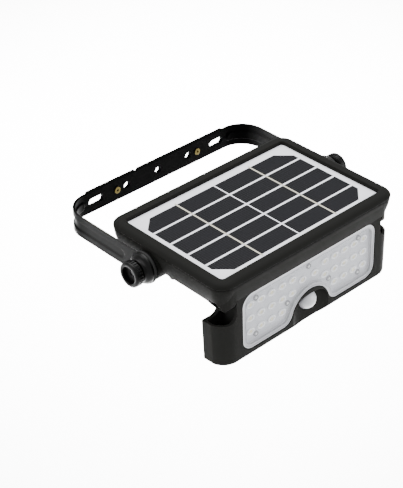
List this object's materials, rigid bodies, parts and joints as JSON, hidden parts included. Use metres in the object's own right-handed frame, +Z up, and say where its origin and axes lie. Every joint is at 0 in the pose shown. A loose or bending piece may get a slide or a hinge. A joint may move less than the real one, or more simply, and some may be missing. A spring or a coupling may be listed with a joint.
{
  "type": "solar flood light",
  "caption": "Outdoor flood light with a framed solar panel on top, a folding LED lamp head with a motion sensor, and a clamped U wall bracket.",
  "frame": {"origin": "centre hole of the U bracket's bar, on the rear face that lies on the wall", "axes": "+Y goes out of the back into the wall, +Z is up, +X is to the right seen from the lamp's front"},
  "size_m": [0.184, 0.1436, 0.0598],
  "materials": {
    "black_plastic": "fine-textured moulded black plastic",
    "black_metal": "satin black powder coat on steel",
    "brass": "plain turned brass",
    "solar_cell": "dark monocrystalline silicon under laminate",
    "backsheet": "white laminate, glossy",
    "ribbon": "tinned copper ribbon",
    "foam": "black closed-cell foam",
    "seal": "black silicone cord",
    "screw_steel": "zinc-plated steel",
    "battery_wrap": "blue shrink wrap",
    "circuit_board": "green solder resist",
    "chip": "black epoxy packages",
    "switch_body": "light grey switch body",
    "button_rubber": "black rubber",
    "bolt_steel": "bright zinc-plated steel",
    "washer_nylon": "black nylon",
    "lens_clear": "clear polycarbonate with a slight frost",
    "gasket_white": "white silicone",
    "led_board": "white solder resist",
    "led_chip": "cream phosphor in a white package",
    "aluminium_plate": "bare aluminium sheet",
    "bush_plastic": "natural acetal",
    "dome_white": "milky polyethylene lens",
    "can_steel": "nickel-plated can"
  },
  "bodies": {
    "bracket": {"bracket": "black_metal", "backing_plate": "black_metal", "plate_rivets": "brass", "hub_left": "black_plastic", "hub_right": "black_plastic"},
    "panel_unit": {"bezel": "black_plastic", "solar_backsheet": "backsheet", "solar_cells": "solar_cell", "cell_ribbons": "ribbon", "panel_gasket": "foam", "lower_housing": "black_plastic", "case_seal": "seal", "case_screws": "screw_steel", "battery_cell": "battery_wrap", "battery_holder": "chip", "battery_cover": "black_plastic", "battery_cover_screws": "screw_steel", "control_board": "circuit_board", "board_parts": "chip", "power_switch": "switch_body", "pivot_bolt_left": "bolt_steel", "pivot_bolt_right": "bolt_steel", "friction_washers": "washer_nylon", "hinge_screws": "screw_steel"},
    "lamp": {"lamp_housing": "black_plastic", "lamp_back": "black_plastic", "lamp_back_screws": "screw_steel", "lens": "lens_clear", "lens_gasket": "gasket_white", "led_board": "led_board", "led_chips": "led_chip", "led_board_screws": "screw_steel", "heat_spreader": "aluminium_plate", "hinge_bushes": "bush_plastic", "sensor_dome": "dome_white", "sensor_can": "can_steel", "sensor_board": "circuit_board"},
    "knob_left": {"knob_left": "black_plastic", "knob_insert_left": "brass"},
    "knob_right": {"knob_right": "black_plastic", "knob_insert_right": "brass"},
    "power_button": {"power_button": "button_rubber"}
  },
  "joints": [
    {"name": "bracket_tilt", "type": "hinge", "parent": "bracket", "child": "panel_unit", "pos_m": [0, -0.0788, 0], "axis": [1, 0, 0], "range_deg": [-180, 120]},
    {"name": "lamp_tilt", "type": "hinge", "parent": "panel_unit", "child": "lamp", "pos_m": [0, -0.1308, -0.0035], "axis": [1, 0, 0], "range_deg": [0, 58]},
    {"name": "knob_left_spin", "type": "hinge", "parent": "panel_unit", "child": "knob_left", "pos_m": [-0.087, -0.0788, 0], "axis": [-1, 0, 0], "continuous": true},
    {"name": "knob_right_spin", "type": "hinge", "parent": "panel_unit", "child": "knob_right", "pos_m": [0.087, -0.0788, 0], "axis": [1, 0, 0], "continuous": true},
    {"name": "power_button_press", "type": "slide", "parent": "panel_unit", "child": "power_button", "axis": [0, 0, 1], "range_m": [0, 0.001], "stiffness_N_per_m": 1500}
  ]
}
